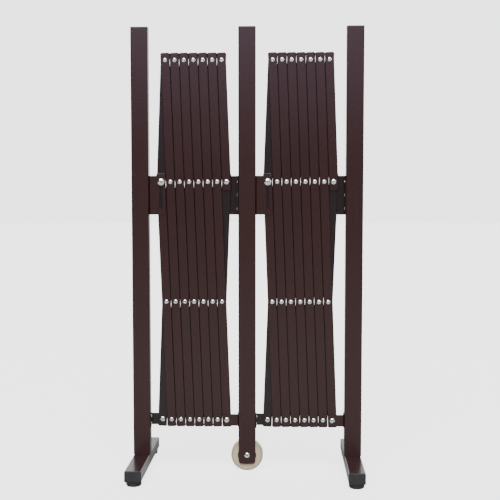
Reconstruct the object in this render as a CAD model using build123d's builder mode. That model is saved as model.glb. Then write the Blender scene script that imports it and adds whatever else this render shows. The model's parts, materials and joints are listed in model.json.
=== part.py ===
"""Folding safety gate: three posts, two panels of crossed slats, two feet and a wheel.

Millimetres, +Z up, X along the gate and -Y to the front. The origin is on the floor under the
middle post. The gate is modelled folded. Each panel has four rows of pivots, counted 0 to 3
from the bottom, and eight front and eight rear slats, counted 1 to 8 from its left side.
"""

from build123d import *
import math
import os

# Overall sizes
HEIGHT = 1035.0  # floor to the top of the post caps
FOOT_LENGTH = 315.0  # front to back, over the end caps

# Rectangular tube of the posts and feet
POST_W = 40.0
POST_D = 25.0
FOOT_W = 38.0
FOOT_H = 25.0
TUBE_WALL = 1.5
TUBE_CORNER = 2.5
CAP_T = 3.5  # flange of the plastic end caps
CAP_PLUG = 12.0  # how deep a cap's plug reaches into its tube
CAP_PLUG_WALL = 2.0
CAP_EDGE = 1.2  # rounding of a cap's outer edges
PLUG_GAP = 0.15

# Glides under the feet
GLIDE_H = 12.0
GLIDE_R = 17.5
GLIDE_FLOOR_R = 13.0
GLIDE_EDGE = 3.0
GLIDE_INSET = 20.0  # glide centre to the end of the foot
GLIDE_STEM_R = 4.0
GLIDE_STEM = 6.0

# Slat panels
CELLS = 7  # pivot pitches between two posts
ROWS = 4
BOTTOM_ROW_Z = 120.0
TOP_DROP = 58.0  # post top down to the slat tops
SLAT_W = 21.0
SLAT_SIDE_GAP = 0.8  # between neighbours in one layer, folded
SLAT_T = 3.0
SLAT_CORNER = 3.0
SLAT_EDGE = 1.2  # rounding of the rolled strip, all round both faces
SLAT_LAYER_GAP = 0.6  # between the front and the rear slats
TAIL = 17.0  # slat beyond its last pivot
SLIDE_TAIL = 20.0  # the same, where a short slat ends at a slide bracket
PIVOT_REACH = 28.0  # post side to the nearest line of pivots

# Rivets and pivots
PIN_GAP = 0.1  # all round a pin in its hole, and under its heads
HEAD_EDGE = 0.6  # straight edge of a head, below its dome
RIVET_R = 2.5
RIVET_HEAD_R = 5.1
RIVET_HEAD_H = 2.4
RIVET_TAIL_R = 4.6
RIVET_TAIL_H = 1.8
RIVET_DIMPLE_R = 1.3
RIVET_DIMPLE = 0.9
PIVOT_R = 3.0
PIVOT_HEAD_R = 6.2
PIVOT_HEAD_H = 2.8
PIVOT_SOCKET_R = 1.9
PIVOT_SOCKET = 1.6
SLIDE_HEAD_R = 8.4
SLIDE_HEAD_H = 3.6

# Brackets
BRACKET_T = 2.0
BRACKET_GAP = 0.3  # bracket leg to the slat beside it
BRACKET_BEND = 1.0  # inside radius of the bend
FLANGE_INSET = 0.5  # flange edge to the far edge of the post's side
SLIDE_REACH = 38.5  # post side to the edge of the slotted leg
SLIDE_OVER = 14.0  # leg above the folded pivot
SLIDE_UNDER = 13.0  # leg below the end of the slot
SLIDE_CORNER = 8.0
SLOT_W = 7.0
SLOT_TRAVEL = 58.0  # how far the pivot slides down from folded to fully open
SLOT_OVER = 0.5  # slot past the pivot's centre at the top of its travel
SLOT_UNDER = 1.5  # and at the bottom
LEG_H = 27.5  # pivot bracket
LEG_FLANGE_H = 34.0
LEG_PAST = 9.0  # pivot bracket's leg beyond its pivot
LEG_CORNER = 3.0
SCREW_R = 2.0
SCREW_HEAD_R = 3.6
SCREW_HEAD_H = 2.2
SCREW_LENGTH = 9.0
SLIDE_SCREWS = 3
SLIDE_SCREW_STEP = 31.0
LEG_SCREWS = 2
LEG_SCREW_STEP = 17.0

# Wheel
WHEEL_R = 37.5
WHEEL_EDGE = 3.0
WHEEL_GROOVE_R = 32.5  # face groove that marks the tread
WHEEL_GROOVE_W = 1.0
WHEEL_GROOVE = 0.5
WHEEL_SIDE_GAP = 0.4
SPACER_R = 21.5
SPACER_T = 1.8
BUSH_WALL = 2.0
BUSH_PROUD = 0.2
AXLE_R = 4.0
AXLE_HEAD_R = 6.4
AXLE_HEAD_H = 3.2
AXLE_SOCKET_R = 2.2
AXLE_SOCKET = 2.0
AXLE_NUT_R = 7.0
AXLE_NUT_H = 5.0
TONGUE_DROP = 20.5  # post's tongues below the axle
TONGUE_CORNER = 7.0
FORK_GAP = 2.5  # post's side walls above the wheel

# What follows from the sizes above
PITCH = SLAT_W + SLAT_SIDE_GAP  # pivot to pivot along a row, folded
PANEL_W = CELLS * PITCH + 2 * PIVOT_REACH
POST_STEP = PANEL_W + POST_W
FOOT_TOP = GLIDE_H + FOOT_H
TOP_ROW_Z = HEIGHT - TOP_DROP - TAIL
ROW_STEP = (TOP_ROW_Z - BOTTOM_ROW_Z) / (ROWS - 1)
HOLE_STEP = math.hypot(ROW_STEP, PITCH / 2)  # along a slat
SLIDE_ROW = 2
SLIDE_Z = BOTTOM_ROW_Z + SLIDE_ROW * ROW_STEP
SLAT_NEAR = SLAT_LAYER_GAP / 2
SLAT_FAR = SLAT_NEAR + SLAT_T
LEG_NEAR = SLAT_FAR + BRACKET_GAP
LEG_FAR = LEG_NEAR + BRACKET_T
FLANGE_EDGE = POST_D / 2 - FLANGE_INSET
SCREW_Y = (FLANGE_EDGE - LEG_NEAR) / 2
SLOT_LENGTH = SLOT_OVER + SLOT_TRAVEL + SLOT_UNDER + SLOT_W
SLIDE_BOTTOM = SLIDE_Z - SLOT_TRAVEL - SLOT_UNDER - SLOT_W / 2 - SLIDE_UNDER
SLIDE_H = SLIDE_Z + SLIDE_OVER - SLIDE_BOTTOM
AXLE_Z = WHEEL_R
WHEEL_W = POST_D - 2 * (TUBE_WALL + SPACER_T + WHEEL_SIDE_GAP)
BUSH_R = AXLE_R + PIN_GAP + BUSH_WALL
TONGUE_Z = AXLE_Z - TONGUE_DROP
FORK_Z = AXLE_Z + math.sqrt(WHEEL_R**2 - (POST_W / 2 - TUBE_WALL) ** 2) + FORK_GAP

os.makedirs("parts", exist_ok=True)


def save(piece, name):
    piece.part.label = name
    export_step(piece.part, f"parts/{name}.step")


def facing_front(x, y, z, x_dir=(1, 0, 0)):
    """A plane seen from the back, so that extrude runs towards +Y."""
    return Plane(origin=(x, y, z), x_dir=x_dir, z_dir=(0, 1, 0))


def facing_side(x, y, z, side):
    """A plane on a post's side: its first axis is Y, and extrude runs away from the post."""
    return Plane(origin=(x, y, z), x_dir=(0, 1, 0), z_dir=(side, 0, 0))


# ---- Pins and screws ------------------------------------------------------------------------


def pin(front, back, shank_r, head, tail, dimple):
    """A pin along Y from front to back: domed heads of (radius, height), dimple of (radius, depth)."""
    head_r, head_h = head
    tail_r, tail_h = tail
    dimple_r, dimple_depth = dimple
    face = front - head_h
    with BuildPart() as made:
        with BuildSketch(Plane.XY):
            with BuildLine():
                Polyline((0, face + dimple_depth), (dimple_r, face + dimple_depth), (dimple_r, face))
                TangentArc((dimple_r, face), (head_r, front - HEAD_EDGE), tangent=(1, 0))
                Polyline((head_r, front - HEAD_EDGE), (head_r, front), (shank_r, front), (shank_r, back))
                Polyline((shank_r, back), (tail_r, back), (tail_r, back + HEAD_EDGE))
                TangentArc((0, back + tail_h), (tail_r, back + HEAD_EDGE), tangent=(1, 0))
                Line((0, back + tail_h), (0, face + dimple_depth))
            make_face()
        revolve(axis=Axis.Y)
    return made.part


def flange_screw():
    """A bracket screw along +X, its head's underside at x = 0."""
    with BuildPart() as made:
        with BuildSketch(Plane.XY):
            with BuildLine():
                TangentArc((SCREW_HEAD_H, 0), (HEAD_EDGE, SCREW_HEAD_R), tangent=(0, 1))
                Polyline((HEAD_EDGE, SCREW_HEAD_R), (0, SCREW_HEAD_R), (0, SCREW_R), (-SCREW_LENGTH, SCREW_R))
                Polyline((-SCREW_LENGTH, SCREW_R), (-SCREW_LENGTH, 0), (SCREW_HEAD_H, 0))
            make_face()
        revolve(axis=Axis.X)
    return made.part


# The head sits in front of the slats or a bracket's leg, and the tail behind them.
RIVET = pin(
    -SLAT_FAR - PIN_GAP,
    SLAT_FAR + PIN_GAP,
    RIVET_R,
    (RIVET_HEAD_R, RIVET_HEAD_H),
    (RIVET_TAIL_R, RIVET_TAIL_H),
    (RIVET_DIMPLE_R, RIVET_DIMPLE),
)
PIVOT_HEAD = (PIVOT_HEAD_R, PIVOT_HEAD_H)
SOCKET = (PIVOT_SOCKET_R, PIVOT_SOCKET)
SLIDE_SCREW = pin(
    -LEG_FAR - PIN_GAP, SLAT_FAR + PIN_GAP, PIVOT_R, (SLIDE_HEAD_R, SLIDE_HEAD_H), PIVOT_HEAD, SOCKET
)
SLIDE_PIVOT = pin(-SLAT_FAR - PIN_GAP, LEG_FAR + PIN_GAP, PIVOT_R, PIVOT_HEAD, PIVOT_HEAD, SOCKET)
REAR_LEG_PIVOT = pin(SLAT_NEAR - PIN_GAP, LEG_FAR + PIN_GAP, PIVOT_R, PIVOT_HEAD, PIVOT_HEAD, SOCKET)
FRONT_LEG_PIVOT = pin(-LEG_FAR - PIN_GAP, -SLAT_NEAR + PIN_GAP, PIVOT_R, PIVOT_HEAD, PIVOT_HEAD, SOCKET)
SCREW = flange_screw()


# ---- Slat panels ------------------------------------------------------------------------------


def pivot_x(first_x, number, row, lean):
    """Where slat number crosses a row. Front slats lean left going up, rear slats lean right."""
    steps = number - row / 2 if lean == "front" else number - 2 + row / 2
    return first_x + steps * PITCH


def slat_rows(number, lean):
    """The rows that a slat reaches: its pivots lie between the two outer lines of pivots."""
    return [r for r in range(ROWS) if 0 <= pivot_x(0, number, r, lean) <= CELLS * PITCH]


def slat(panel, first_x, number, lean):
    rows = slat_rows(number, lean)
    xs = [pivot_x(first_x, number, r, lean) for r in rows]
    spans = len(rows) - 1
    low_tail = SLIDE_TAIL if rows[0] == SLIDE_ROW else TAIL
    high_tail = SLIDE_TAIL if rows[-1] == SLIDE_ROW else TAIL
    tilt = (PITCH / 2 if lean == "rear" else -PITCH / 2) / HOLE_STEP
    along = (tilt, 0, ROW_STEP / HOLE_STEP)
    near_y = -SLAT_FAR if lean == "front" else SLAT_NEAR
    low_z = BOTTOM_ROW_Z + rows[0] * ROW_STEP
    # A slat's end pivots turn in brackets where they lie on an outer line of pivots.
    outer = (first_x, first_x + CELLS * PITCH)
    at_bracket = [any(abs(x - edge) < PITCH / 4 for edge in outer) for x in xs]
    with BuildPart() as made:
        with BuildSketch(facing_front(xs[0], near_y, low_z, along)):
            with Locations(((spans * HOLE_STEP + high_tail - low_tail) / 2, 0)):
                RectangleRounded(spans * HOLE_STEP + low_tail + high_tail, SLAT_W, SLAT_CORNER)
        extrude(amount=SLAT_T)
        faces = made.faces().sort_by(Axis.Y)
        fillet(faces[0].edges() + faces[-1].edges(), SLAT_EDGE)
        with BuildSketch(facing_front(xs[0], near_y, low_z, along)):
            for k, held in enumerate(at_bracket):
                with Locations((k * HOLE_STEP, 0)):
                    Circle((PIVOT_R if held else RIVET_R) + PIN_GAP)
        extrude(amount=SLAT_T, mode=Mode.SUBTRACT)
        if lean == "front":
            for row, x, held in zip(rows, xs, at_bracket):
                slide = SLIDE_SCREW if number == 1 else SLIDE_PIVOT
                if not held or row == SLIDE_ROW:
                    with Locations((x, 0, BOTTOM_ROW_Z + row * ROW_STEP)):
                        add(slide if held else RIVET)
    save(made, f"{panel}_{lean}_slat_{number}")


# ---- Brackets ---------------------------------------------------------------------------------


def angle_profile(low_z, face_x, side, facing, reach):
    """The bent profile of a bracket on the post side at face_x. Its leg is in front if facing is -1."""
    near, far, edge = facing * LEG_NEAR, facing * LEG_FAR, -facing * FLANGE_EDGE
    flange_x, tip_x = face_x + side * BRACKET_T, face_x + side * reach
    with BuildSketch(Plane.XY.offset(low_z)) as profile:
        with BuildLine():
            Polyline((face_x, edge), (flange_x, edge), (flange_x, near), (tip_x, near))
            Polyline((tip_x, near), (tip_x, far), (face_x, far), (face_x, edge))
        make_face()
        inside = profile.vertices().sort_by_distance((flange_x, near))[0]
        fillet(inside, BRACKET_BEND)
        outside = profile.vertices().sort_by_distance((face_x, far))[0]
        fillet(outside, BRACKET_BEND + BRACKET_T)
    return profile.sketch


def screw_heights(middle, step, count):
    return [middle + (k - (count - 1) / 2) * step for k in range(count)]


SLIDE_SCREW_ZS = screw_heights(SLIDE_BOTTOM + SLIDE_H / 2, SLIDE_SCREW_STEP, SLIDE_SCREWS)
LEG_SCREW_ZS = screw_heights(BOTTOM_ROW_Z, LEG_SCREW_STEP, LEG_SCREWS)


def screw_holes(face_x, side, facing, heights, depth, radius):
    """Holes through a flange or a post's side, cut from face_x by depth."""
    with BuildSketch(facing_side(face_x, 0, 0, side)) as holes:
        with Locations(*[(-facing * SCREW_Y, side * z) for z in heights]):
            Circle(radius)
    extrude(holes.sketch, amount=depth, both=True, mode=Mode.SUBTRACT)


def slide_bracket(name, face_x, side):
    """The tall bracket, whose slot lets the slats' pivot slide down as the gate opens."""
    facing = -side
    pivot_at = face_x + side * PIVOT_REACH
    with BuildPart() as made:
        extrude(angle_profile(SLIDE_BOTTOM, face_x, side, facing, SLIDE_REACH), amount=SLIDE_H)
        tip = made.edges().filter_by(Axis.Y).group_by(Axis.Z)[0].sort_by(Axis.X)[0 if side < 0 else -1]
        fillet(tip, SLIDE_CORNER)
        slot_middle = SLIDE_Z + SLOT_OVER + SLOT_W / 2 - SLOT_LENGTH / 2
        with BuildSketch(facing_front(pivot_at, -POST_D, slot_middle)):
            SlotOverall(SLOT_LENGTH, SLOT_W, rotation=90)
        extrude(amount=2 * POST_D, mode=Mode.SUBTRACT)
        screw_holes(face_x, side, facing, SLIDE_SCREW_ZS, 2 * BRACKET_T, SCREW_R + PIN_GAP)
    save(made, name)


def pivot_bracket(name, face_x, side):
    """The short bracket that holds a panel's lowest slat."""
    facing = side
    pivot_at = face_x + side * PIVOT_REACH
    with BuildPart() as made:
        profile = angle_profile(BOTTOM_ROW_Z - LEG_H / 2, face_x, side, facing, PIVOT_REACH + LEG_PAST)
        extrude(profile, amount=LEG_H)
        tips = made.edges().filter_by(Axis.Y).sort_by(Axis.X)
        fillet(tips[-2:] if side > 0 else tips[:2], LEG_CORNER)
        flat_y = LEG_NEAR - BRACKET_BEND  # where the flange's flat part ends
        with BuildSketch(Plane.XY.offset(BOTTOM_ROW_Z - LEG_FLANGE_H / 2)):
            with Locations((face_x + side * BRACKET_T / 2, facing * (flat_y - FLANGE_EDGE) / 2)):
                Rectangle(BRACKET_T, FLANGE_EDGE + flat_y)
        extrude(amount=LEG_FLANGE_H)
        with BuildSketch(facing_front(pivot_at, -POST_D, BOTTOM_ROW_Z)):
            Circle(PIVOT_R + PIN_GAP)
        extrude(amount=2 * POST_D, mode=Mode.SUBTRACT)
        screw_holes(face_x, side, facing, LEG_SCREW_ZS, 2 * BRACKET_T, SCREW_R + PIN_GAP)
    save(made, name)


def fasteners(name, post_x, sides):
    """The screws of a post's brackets, and the pivots held by its short brackets."""
    with BuildPart() as made:
        for side in sides:
            face_x = post_x + side * POST_W / 2
            turn = 0 if side > 0 else 180
            head_x = face_x + side * (BRACKET_T + PIN_GAP)
            for facing, heights in ((-side, SLIDE_SCREW_ZS), (side, LEG_SCREW_ZS)):
                for z in heights:
                    with Locations(Location((head_x, -facing * SCREW_Y, z), (0, 0, turn))):
                        add(SCREW)
            with Locations((face_x + side * PIVOT_REACH, 0, BOTTOM_ROW_Z)):
                add(REAR_LEG_PIVOT if side > 0 else FRONT_LEG_PIVOT)
    save(made, name)


# ---- Posts, caps and feet -----------------------------------------------------------------------


def tube_section(width, depth):
    inner = (width - 2 * TUBE_WALL, depth - 2 * TUBE_WALL)
    RectangleRounded(width, depth, TUBE_CORNER)
    RectangleRounded(*inner, TUBE_CORNER - TUBE_WALL, mode=Mode.SUBTRACT)


def post(name, post_x, low_z, sides, fork=False):
    """A post's tube, with the holes for its brackets' screws. The middle one is forked for the wheel."""
    with BuildPart() as made:
        with BuildSketch(Plane.XY.offset(low_z)):
            with Locations((post_x, 0)):
                tube_section(POST_W, POST_D)
        extrude(amount=HEIGHT - CAP_T - low_z)
        for side in sides:
            face_x = post_x + side * POST_W / 2
            for facing, heights in ((-side, SLIDE_SCREW_ZS), (side, LEG_SCREW_ZS)):
                screw_holes(face_x, side, facing, heights, 2 * TUBE_WALL, SCREW_R + PIN_GAP)
        if fork:
            with BuildSketch(Plane.XY.offset(low_z)):
                with Locations((post_x, 0)):
                    Rectangle(2 * POST_W, POST_D - 2 * TUBE_WALL)
            extrude(amount=FORK_Z - low_z, mode=Mode.SUBTRACT)
            with BuildSketch(facing_front(post_x, -POST_D, low_z)):
                upwards = (Align.CENTER, Align.MAX)
                tongue = (POST_W, FORK_Z - low_z)
                Rectangle(POST_W, TONGUE_CORNER, align=upwards)
                RectangleRounded(*tongue, TONGUE_CORNER, align=upwards, mode=Mode.SUBTRACT)
            extrude(amount=2 * POST_D, mode=Mode.SUBTRACT)
            with BuildSketch(facing_front(post_x, -POST_D, AXLE_Z)):
                Circle(AXLE_R + PIN_GAP)
            extrude(amount=2 * POST_D, mode=Mode.SUBTRACT)
    save(made, name)


def tube_cap(made_at, width, depth):
    """A push-in end cap: its flange stands on made_at, and its hollow plug hangs below it."""
    with BuildSketch(made_at) as flange:
        RectangleRounded(width, depth, TUBE_CORNER)
    extrude(flange.sketch, amount=CAP_T)
    plug_w = width - 2 * (TUBE_WALL + PLUG_GAP)
    plug_d = depth - 2 * (TUBE_WALL + PLUG_GAP)
    with BuildSketch(made_at) as plug:
        RectangleRounded(plug_w, plug_d, TUBE_CORNER - TUBE_WALL)
        Rectangle(plug_w - 2 * CAP_PLUG_WALL, plug_d - 2 * CAP_PLUG_WALL, mode=Mode.SUBTRACT)
    extrude(plug.sketch, amount=-CAP_PLUG)


def post_cap(name, post_x):
    with BuildPart() as made:
        tube_cap(Plane((post_x, 0, HEIGHT - CAP_T)), POST_W, POST_D)
        fillet(made.faces().sort_by(Axis.Z)[-1].edges(), CAP_EDGE)
    save(made, name)


def foot(name, post_x):
    end = FOOT_LENGTH / 2 - CAP_T
    glides = [(post_x, side * (FOOT_LENGTH / 2 - GLIDE_INSET)) for side in (-1, 1)]
    stem_top = GLIDE_H + GLIDE_STEM
    with BuildPart() as bar:
        with BuildSketch(facing_front(post_x, -end, GLIDE_H + FOOT_H / 2)):
            tube_section(FOOT_W, FOOT_H)
        extrude(amount=2 * end)
        with BuildSketch(Plane.XY.offset(GLIDE_H)):
            with Locations(*glides):
                Circle(GLIDE_STEM_R + PIN_GAP)
        extrude(amount=2 * TUBE_WALL, both=True, mode=Mode.SUBTRACT)
    save(bar, f"{name}_foot_bar")

    with BuildPart() as caps:
        for side in (-1, 1):
            cap_plane = Plane((post_x, side * end, GLIDE_H + FOOT_H / 2), x_dir=(1, 0, 0), z_dir=(0, side, 0))
            tube_cap(cap_plane, FOOT_W, FOOT_H)
        for face in (caps.faces().sort_by(Axis.Y)[0], caps.faces().sort_by(Axis.Y)[-1]):
            fillet(face.edges(), CAP_EDGE)
    save(caps, f"{name}_foot_caps")

    with BuildPart() as pads:
        for x, y in glides:
            with BuildSketch(Plane((x, y, 0), x_dir=(1, 0, 0), z_dir=(0, -1, 0))):
                with BuildLine():
                    Polyline((0, 0), (GLIDE_FLOOR_R, 0), (GLIDE_R, GLIDE_EDGE), (GLIDE_R, GLIDE_H))
                    Polyline((GLIDE_R, GLIDE_H), (GLIDE_STEM_R, GLIDE_H), (GLIDE_STEM_R, stem_top))
                    Polyline((GLIDE_STEM_R, stem_top), (0, stem_top), (0, 0))
                make_face()
            revolve(axis=Axis((x, y, 0), (0, 0, 1)))
    save(pads, f"{name}_foot_glides")


# ---- Wheel --------------------------------------------------------------------------------------


def disc_pair(radius, bore, near_y, thickness):
    """Two rings round the axle, in front of and behind the wheel, starting near_y from its middle."""
    for side in (-1, 1):
        with BuildSketch(Plane((0, side * near_y, AXLE_Z), x_dir=(1, 0, 0), z_dir=(0, side, 0))) as ring:
            Circle(radius)
            Circle(bore, mode=Mode.SUBTRACT)
        extrude(ring.sketch, amount=thickness)


def wheel():
    middle = facing_front(0, -WHEEL_W / 2, AXLE_Z)
    with BuildPart() as tread:
        with BuildSketch(middle):
            Circle(WHEEL_R)
            Circle(BUSH_R, mode=Mode.SUBTRACT)
        extrude(amount=WHEEL_W)
        rims = tread.edges().filter_by(GeomType.CIRCLE).sort_by(SortBy.RADIUS)[-2:]
        fillet(rims, WHEEL_EDGE)
        for y in (-WHEEL_W / 2, WHEEL_W / 2 - WHEEL_GROOVE):
            with BuildSketch(facing_front(0, y, AXLE_Z)):
                Circle(WHEEL_GROOVE_R)
                Circle(WHEEL_GROOVE_R - WHEEL_GROOVE_W, mode=Mode.SUBTRACT)
            extrude(amount=WHEEL_GROOVE, mode=Mode.SUBTRACT)
    save(tread, "wheel")

    with BuildPart() as bush:
        with BuildSketch(facing_front(0, -WHEEL_W / 2 - BUSH_PROUD, AXLE_Z)):
            Circle(BUSH_R - PIN_GAP / 2)
            Circle(AXLE_R + PIN_GAP, mode=Mode.SUBTRACT)
        extrude(amount=WHEEL_W + 2 * BUSH_PROUD)
    save(bush, "wheel_bush")

    with BuildPart() as spacers:
        disc_pair(SPACER_R, AXLE_R + PIN_GAP, WHEEL_W / 2 + WHEEL_SIDE_GAP, SPACER_T)
    save(spacers, "wheel_spacers")


def axle():
    face = POST_D / 2
    with BuildPart() as bolt:
        with BuildSketch(facing_front(0, -face - AXLE_HEAD_H, AXLE_Z)):
            Circle(AXLE_HEAD_R)
        extrude(amount=AXLE_HEAD_H)
        fillet(bolt.edges().sort_by(Axis.Y)[0], AXLE_HEAD_H / 2)
        with BuildSketch(facing_front(0, -face, AXLE_Z)):
            Circle(AXLE_R)
        extrude(amount=2 * face + AXLE_NUT_H)
        with BuildSketch(facing_front(0, -face - AXLE_HEAD_H, AXLE_Z)):
            RegularPolygon(AXLE_SOCKET_R, 6)
        extrude(amount=AXLE_SOCKET, mode=Mode.SUBTRACT)
    save(bolt, "axle_bolt")

    with BuildPart() as nut:
        with BuildSketch(facing_front(0, face, AXLE_Z)):
            RegularPolygon(AXLE_NUT_R, 6)
            Circle(AXLE_R + PIN_GAP, mode=Mode.SUBTRACT)
        extrude(amount=AXLE_NUT_H)
    save(nut, "axle_nut")


# ---- The gate -----------------------------------------------------------------------------------

POSTS = {"left": (-POST_STEP, (1,)), "middle": (0.0, (-1, 1)), "right": (POST_STEP, (-1,))}

for place, (x, sides) in POSTS.items():
    forked = place == "middle"
    post(f"{place}_post", x, TONGUE_Z if forked else FOOT_TOP, sides, fork=forked)
    post_cap(f"{place}_post_cap", x)
    fasteners(f"{place}_post_fasteners", x, sides)
    if not forked:
        foot(place, x)

    for side in sides:
        at = place if not forked else "middle_left" if side < 0 else "middle_right"
        slide_bracket(f"{at}_slide_bracket", x + side * POST_W / 2, side)
        pivot_bracket(f"{at}_pivot_bracket", x + side * POST_W / 2, side)

for panel, post_x in (("left", -POST_STEP), ("right", 0)):
    first_x = post_x + POST_W / 2 + PIVOT_REACH
    for number in range(1, CELLS + 2):
        slat(panel, first_x, number, "front")
        slat(panel, first_x, number, "rear")

wheel()
axle()
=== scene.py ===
import json
import math

import bmesh
import bpy
from mathutils import Matrix, Vector


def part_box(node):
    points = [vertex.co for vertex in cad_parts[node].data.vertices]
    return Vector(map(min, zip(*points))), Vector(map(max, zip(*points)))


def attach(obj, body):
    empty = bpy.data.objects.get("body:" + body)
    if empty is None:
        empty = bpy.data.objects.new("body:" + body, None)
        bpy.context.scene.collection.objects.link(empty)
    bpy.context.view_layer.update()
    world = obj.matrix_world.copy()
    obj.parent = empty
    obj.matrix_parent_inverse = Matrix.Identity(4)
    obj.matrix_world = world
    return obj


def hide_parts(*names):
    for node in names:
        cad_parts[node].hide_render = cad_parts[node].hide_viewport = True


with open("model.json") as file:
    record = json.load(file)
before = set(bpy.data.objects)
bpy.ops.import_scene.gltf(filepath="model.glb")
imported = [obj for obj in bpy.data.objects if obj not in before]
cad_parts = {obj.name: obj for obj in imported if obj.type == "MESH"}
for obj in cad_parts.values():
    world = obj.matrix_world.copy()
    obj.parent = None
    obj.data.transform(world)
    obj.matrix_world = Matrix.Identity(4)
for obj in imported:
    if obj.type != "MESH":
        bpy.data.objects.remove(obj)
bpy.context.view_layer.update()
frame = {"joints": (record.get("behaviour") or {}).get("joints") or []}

# ---- Sizes, in metres ---------------------------------------------------------------------------

# Slats
SLAT_W = 0.021
SLAT_CORNER = 0.003
SLAT_EDGE = 0.0012  # rounding of the rolled strip, all round both faces
TAIL = 0.017  # slat beyond its last pivot
SLIDE_TAIL = 0.020  # the same, where a short slat ends at a slotted bracket

# Rivets and pivots: radius, height
PIN_GAP = 0.0001
RIVET_R = 0.0025
RIVET_HEAD = (0.0051, 0.0024)
RIVET_TAIL = (0.0046, 0.0018)
RIVET_DIMPLE = (0.0015, 0.0010)
PIVOT_R = 0.003
PIVOT_HEAD = (0.0062, 0.0028)
PIVOT_SOCKET = (0.0021, 0.0018)
SLIDE_HEAD = (0.0084, 0.0036)
SCREW_R = 0.002
SCREW_HEAD = (0.0036, 0.0022)
SCREW_LENGTH = 0.009
SCREW_SOCKET = (0.0019, 0.0012)
SCREW_CROSS_HALF = 0.00045  # half the width of the cross recess's arms
SLIDE_CROSS = (0.0028, 0.0007)
HEAD_EDGE = 0.0006
HEAD_RIM = 0.00005  # rise from the dome to the rim of its recess
RECESS_MOUTH = 1.25  # the rim's radius, as a multiple of the recess's reach
RECESS_DEEPEST = 0.003
SCREW_TIP = 0.001

# Tube, caps and glides
TUBE_WALL = 0.0015
TUBE_CORNER = 0.0025
TUBE_END_EDGE = 0.0003
CAP_T = 0.0035
CAP_PLUG_WALL = 0.002
CAP_EDGE = 0.0002
PLUG_CORNER = 0.001
PLUG_GAP = 0.00015
FOOT_PLUG = 0.012
GLIDE_STEM_R = 0.004
GLIDE_BELLY = 0.0045
GLIDE_RIM = 0.0012
GLIDE_GROOVE = 0.0006
GROOVE_WIDTHS = (0.55, 0.62)  # floor and mouth of the sole's groove, as shares of the sole

# Brackets
BRACKET_T = 0.002
BRACKET_BEND = 0.001
BRACKET_EDGE = 0.0003
SLIDE_CORNER = 0.008
LEG_CORNER = 0.003
LEG_H = 0.0275
LEG_NOTCH = 0.001  # rounding of the flange's corners beside the leg
SLOT_W = 0.007
SLOT_OVER = 0.0005  # slot past the folded pivot's centre
SLIDE_UNDER = 0.013  # leg below the end of the slot
BRACKET_GAP = 0.0003  # bracket leg to the slat beside it
SLIDE_SCREWS = (0.031, 3)  # step, count
LEG_SCREWS = (0.017, 2)

# Wheel
WHEEL_SHOULDER = 0.003
TREAD_DEPTH = 0.005  # the grey band round the wheel
HUB_R = 0.0225
WEB_RECESS = 0.0008
WEB_SLOPES = (0.0006, 0.0008)  # widths of the web's slopes at the hub and at the band
BAND_RECESS = 0.0002  # band below the hub's face
BAND_LIP = 0.0006  # from the web's slope to the band
SEAM = (0.00012, 0.0007, 0.0002)  # height, half width and flat of the mould seam round the tread
BORE_EDGE = 0.0003
BUSH_EDGE = 0.0002
BUSH_WALL = 0.002
AXLE_R = 0.004
AXLE_SOCKET = (0.0027, 0.0022)
AXLE_TIP = 0.0005
NUT_EDGE = 0.0004
TONGUE_CORNER = 0.007
FORK_GAP = 0.0025  # post's side walls above the wheel
SPACER_T = 0.0018
SPACER_EDGE = 0.0004

ROUND_STEPS = 40  # sides of a turned piece
HOLE_STEPS = 24
MERGE = 1e-7


# ---- What the frame gives -----------------------------------------------------------------------

JOINTS = {joint["name"]: joint for joint in frame["joints"]}
ROW_HEIGHTS = sorted({round(JOINTS[name]["pos_m"][2], 5) for name in JOINTS if "slat" in name})
ROWS = len(ROW_HEIGHTS)
SLIDE_ROW = 2
CELLS = 7


def pitches_along(number, row, lean):
    """How many pitches a slat's crossing of a row lies from the first line of pivots."""
    return number - row / 2 if lean == "front" else number - 2 + row / 2


class Panel:
    """One panel of slats: its name, its first line of pivots and its pitch."""

    def __init__(self, name, right_post):
        self.name = name
        self.first_x = JOINTS[f"{name}_panel_stretch"]["pos_m"][0]
        last_x = JOINTS[f"{right_post}_pivot"]["pos_m"][0]
        self.pitch = (last_x - self.first_x) / CELLS

    def rows(self, number, lean):
        return [row for row in range(ROWS) if 0 <= pitches_along(number, row, lean) <= CELLS]

    def crossing(self, number, row, lean):
        x = self.first_x + pitches_along(number, row, lean) * self.pitch
        return Vector((x, 0, ROW_HEIGHTS[row]))

    def beside_post(self, side):
        """Where the line of pivots lies beside the post that has the panel on that side."""
        return self.first_x if side > 0 else self.first_x + CELLS * self.pitch

    def at_post(self, number, row, lean):
        return pitches_along(number, row, lean) in (0, CELLS)


PANELS = [Panel("left", "middle_post"), Panel("right", "right_post")]
SLAT_NEAR, SLAT_FAR = (corner.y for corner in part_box("left_rear_slat_1"))
LEG_NEAR = SLAT_FAR + BRACKET_GAP
LEG_FAR = LEG_NEAR + BRACKET_T
SLIDE_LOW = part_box("left_slide_bracket")[0].z
LEG_SLOT = (SLIDE_LOW + SLIDE_UNDER, ROW_HEIGHTS[SLIDE_ROW] + SLOT_OVER + SLOT_W / 2)


# ---- Materials ----------------------------------------------------------------------------------


class Socket:
    """A node's output. Sums written with it add Math nodes to its tree."""

    def __init__(self, shader, link):
        self.shader, self.link = shader, link

    def math(self, operation, *values):
        return self.shader.node("ShaderNodeMath", {"operation": operation}, dict(enumerate(values)))

    def __add__(self, other):
        return self.math("ADD", self, other)

    def __radd__(self, other):
        return self.math("ADD", other, self)

    def __sub__(self, other):
        return self.math("SUBTRACT", self, other)

    def __rsub__(self, other):
        return self.math("SUBTRACT", other, self)

    def __mul__(self, other):
        return self.math("MULTIPLY", self, other)

    def __rmul__(self, other):
        return self.math("MULTIPLY", other, self)

    def __truediv__(self, other):
        return self.math("DIVIDE", self, other)


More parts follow.
